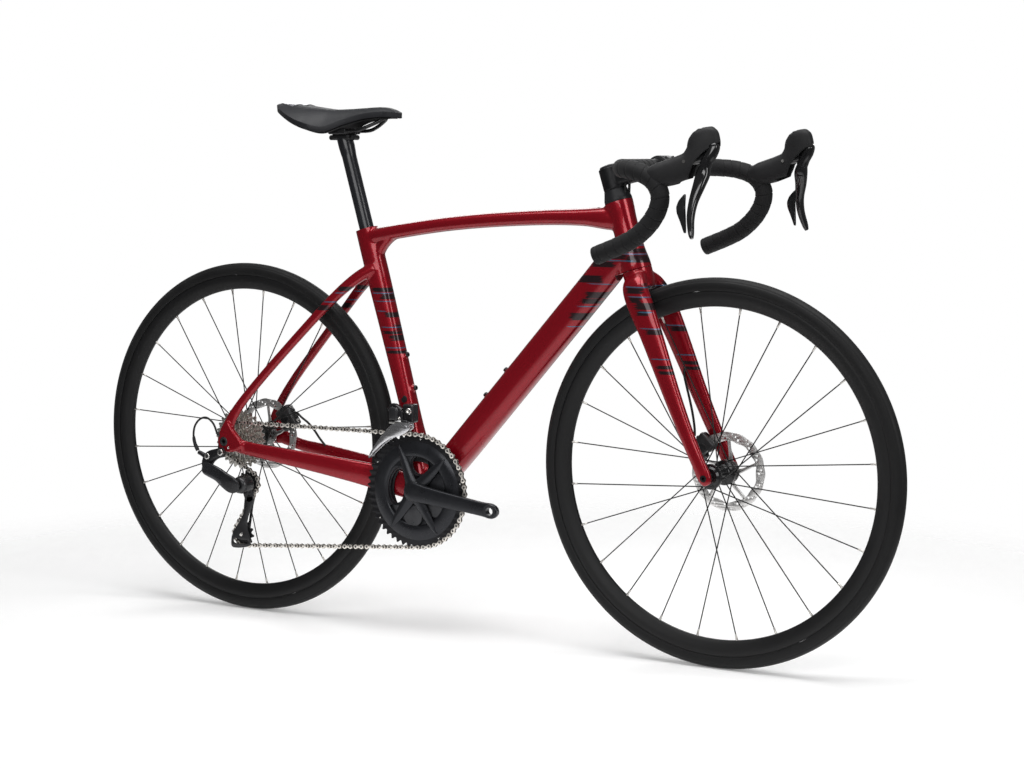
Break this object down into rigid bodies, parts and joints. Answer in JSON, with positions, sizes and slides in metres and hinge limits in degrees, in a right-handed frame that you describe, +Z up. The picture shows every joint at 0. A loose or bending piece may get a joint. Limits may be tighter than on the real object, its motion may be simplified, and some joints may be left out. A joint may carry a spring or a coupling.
{
  "type": "road bicycle",
  "caption": "Drop-bar road bicycle with a composite frame, disc brakes, double chainring and derailleur gears, shown without pedals.",
  "frame": {"origin": "on the ground, midway between the two wheel axles, in the middle plane", "axes": "+X forward, +Y to the rider's left, +Z up; the drivetrain is on the -Y side"},
  "size_m": [1.689, 0.4856, 0.9903],
  "materials": {
    "frame_paint": "gloss metallic candy red over carbon composite",
    "tyre_rubber": "black rubber with fine tread lines",
    "rim_black": "satin black anodised",
    "hub_black": "satin black with black spokes",
    "rotor_steel": "ground steel track",
    "steel_silver": "plated steel",
    "axle_black": "black anodised",
    "caliper_black": "satin black",
    "crank_grey": "gloss dark grey",
    "derailleur_black": "gloss black",
    "lever_gloss": "gloss black",
    "hood_rubber": "soft matt rubber",
    "tape": "perforated synthetic wrap",
    "bar_black": "satin black",
    "cover_plastic": "moulded black",
    "hose_black": "smooth hose",
    "saddle_skin": "synthetic cover with a gloss patch",
    "rail_metal": "black steel",
    "post_carbon": "satin black"
  },
  "bodies": {
    "frame_assembly": {"bottom_bracket_left": "cover_plastic", "bottom_bracket_right": "cover_plastic", "chain": "steel_silver", "derailleur_cage_inner": "axle_black", "derailleur_cage_outer": "axle_black", "derailleur_hanger": "axle_black", "derailleur_link_inner": "derailleur_black", "derailleur_link_outer": "derailleur_black", "derailleur_lower_knuckle": "derailleur_black", "derailleur_upper_knuckle": "derailleur_black", "frame": "frame_paint", "front_derailleur_body": "derailleur_black", "front_derailleur_cage": "steel_silver", "headset_bearing_lower": "steel_silver", "headset_bearing_upper": "steel_silver", "rear_brake_hose": "hose_black", "rear_caliper": "caliper_black", "rear_thru_axle": "axle_black", "shift_cable_housing": "hose_black", "stays_left": "frame_paint", "stays_right": "frame_paint"},
    "steering": {"fork": "frame_paint", "front_thru_axle": "axle_black", "front_caliper": "caliper_black", "front_brake_hose": "hose_black", "stem": "bar_black", "stem_faceplate": "bar_black", "headset_cover": "cover_plastic", "top_cap": "bar_black", "handlebar": "bar_black", "bar_tape_left": "tape", "bar_tape_right": "tape", "shifter_left": "hood_rubber", "shifter_right": "hood_rubber"},
    "front_wheel": {"front_tyre": "tyre_rubber", "front_rim": "rim_black", "front_hub": "hub_black", "front_rotor": "rotor_steel"},
    "rear_wheel": {"rear_tyre": "tyre_rubber", "rear_rim": "rim_black", "rear_hub": "hub_black", "rear_rotor": "rotor_steel"},
    "cranks": {"crank_arm_left": "crank_grey", "crank_arm_right": "crank_grey", "chainring_outer": "crank_grey", "chainring_inner": "crank_grey"},
    "cassette_body": {"cassette": "steel_silver"},
    "guide_wheel": {"guide_pulley": "cover_plastic"},
    "tension_wheel": {"tension_pulley": "cover_plastic"},
    "post": {"seatpost": "post_carbon", "saddle_clamp": "rail_metal"},
    "saddle": {"saddle_rails": "rail_metal", "saddle_shell": "cover_plastic", "saddle_cover": "saddle_skin"},
    "lever_left": {"lever_root_left": "lever_gloss"},
    "blade_left": {"brake_lever_left": "lever_gloss"},
    "paddle_left": {"shift_paddle_left": "lever_gloss"},
    "lever_right": {"lever_root_right": "lever_gloss"},
    "blade_right": {"brake_lever_right": "lever_gloss"},
    "paddle_right": {"shift_paddle_right": "lever_gloss"}
  },
  "joints": [
    {"name": "steering_turn", "type": "hinge", "parent": "frame_assembly", "child": "steering", "pos_m": [0.34343, 0, 0.69013], "axis": [-0.2957, 0, 0.9553], "range_deg": [-65, 65]},
    {"name": "front_wheel_spin", "type": "hinge", "parent": "steering", "child": "front_wheel", "pos_m": [0.504, 0, 0.3405], "axis": [0, 1, 0], "continuous": true},
    {"name": "rear_wheel_spin", "type": "hinge", "parent": "frame_assembly", "child": "rear_wheel", "pos_m": [-0.504, 0, 0.3405], "axis": [0, 1, 0], "continuous": true},
    {"name": "crank_spin", "type": "hinge", "parent": "frame_assembly", "child": "cranks", "pos_m": [-0.086, 0, 0.272], "axis": [0, 1, 0], "continuous": true},
    {"name": "cassette_spin", "type": "hinge", "parent": "frame_assembly", "child": "cassette_body", "pos_m": [-0.504, 0, 0.3405], "axis": [0, 1, 0], "continuous": true},
    {"name": "guide_pulley_spin", "type": "hinge", "parent": "frame_assembly", "child": "guide_wheel", "pos_m": [-0.4706, -0.048, 0.2587], "axis": [0, 1, 0], "continuous": true},
    {"name": "tension_pulley_spin", "type": "hinge", "parent": "frame_assembly", "child": "tension_wheel", "pos_m": [-0.4853, -0.048, 0.1569], "axis": [0, 1, 0], "continuous": true},
    {"name": "brake_pull_left", "type": "hinge", "parent": "steering", "child": "lever_left", "pos_m": [0.5364, 0.2005, 0.879], "axis": [0, 1, 0], "range_deg": [0, 18], "stiffness_Nm_per_rad": 0.5, "springref_deg": -20.05},
    {"name": "blade_swing_left", "type": "hinge", "parent": "lever_left", "child": "blade_left", "pos_m": [0.573, 0.2005, 0.88], "axis": [-1, 0, 0], "range_deg": [0, 10], "stiffness_Nm_per_rad": 0.3, "springref_deg": -17.19},
    {"name": "paddle_swing_left", "type": "hinge", "parent": "blade_left", "child": "paddle_left", "pos_m": [0.54, 0.226, 0.832], "axis": [-1, 0, 0], "range_deg": [0, 15], "stiffness_Nm_per_rad": 0.1, "springref_deg": -17.19},
    {"name": "brake_pull_right", "type": "hinge", "parent": "steering", "child": "lever_right", "pos_m": [0.5364, -0.2005, 0.879], "axis": [0, 1, 0], "range_deg": [0, 18], "stiffness_Nm_per_rad": 0.5, "springref_deg": -20.05},
    {"name": "blade_swing_right", "type": "hinge", "parent": "lever_right", "child": "blade_right", "pos_m": [0.573, -0.2005, 0.88], "axis": [1, 0, 0], "range_deg": [0, 10], "stiffness_Nm_per_rad": 0.3, "springref_deg": -17.19},
    {"name": "paddle_swing_right", "type": "hinge", "parent": "blade_right", "child": "paddle_right", "pos_m": [0.54, -0.226, 0.832], "axis": [1, 0, 0], "range_deg": [0, 15], "stiffness_Nm_per_rad": 0.1, "springref_deg": -17.19},
    {"name": "seatpost_height", "type": "slide", "parent": "frame_assembly", "child": "post", "axis": [-0.2756, 0, 0.9613], "range_m": [-0.06, 0.05]},
    {"name": "saddle_fore_aft", "type": "slide", "parent": "post", "child": "saddle", "axis": [1, 0, 0], "range_m": [-0.01, 0.01]}
  ],
  "couplings": [
    {"joint": "cassette_spin", "follows": "crank_spin", "ratio": 3.0588},
    {"joint": "guide_pulley_spin", "follows": "crank_spin", "ratio": -4.7273},
    {"joint": "tension_pulley_spin", "follows": "crank_spin", "ratio": 4.7273}
  ]
}
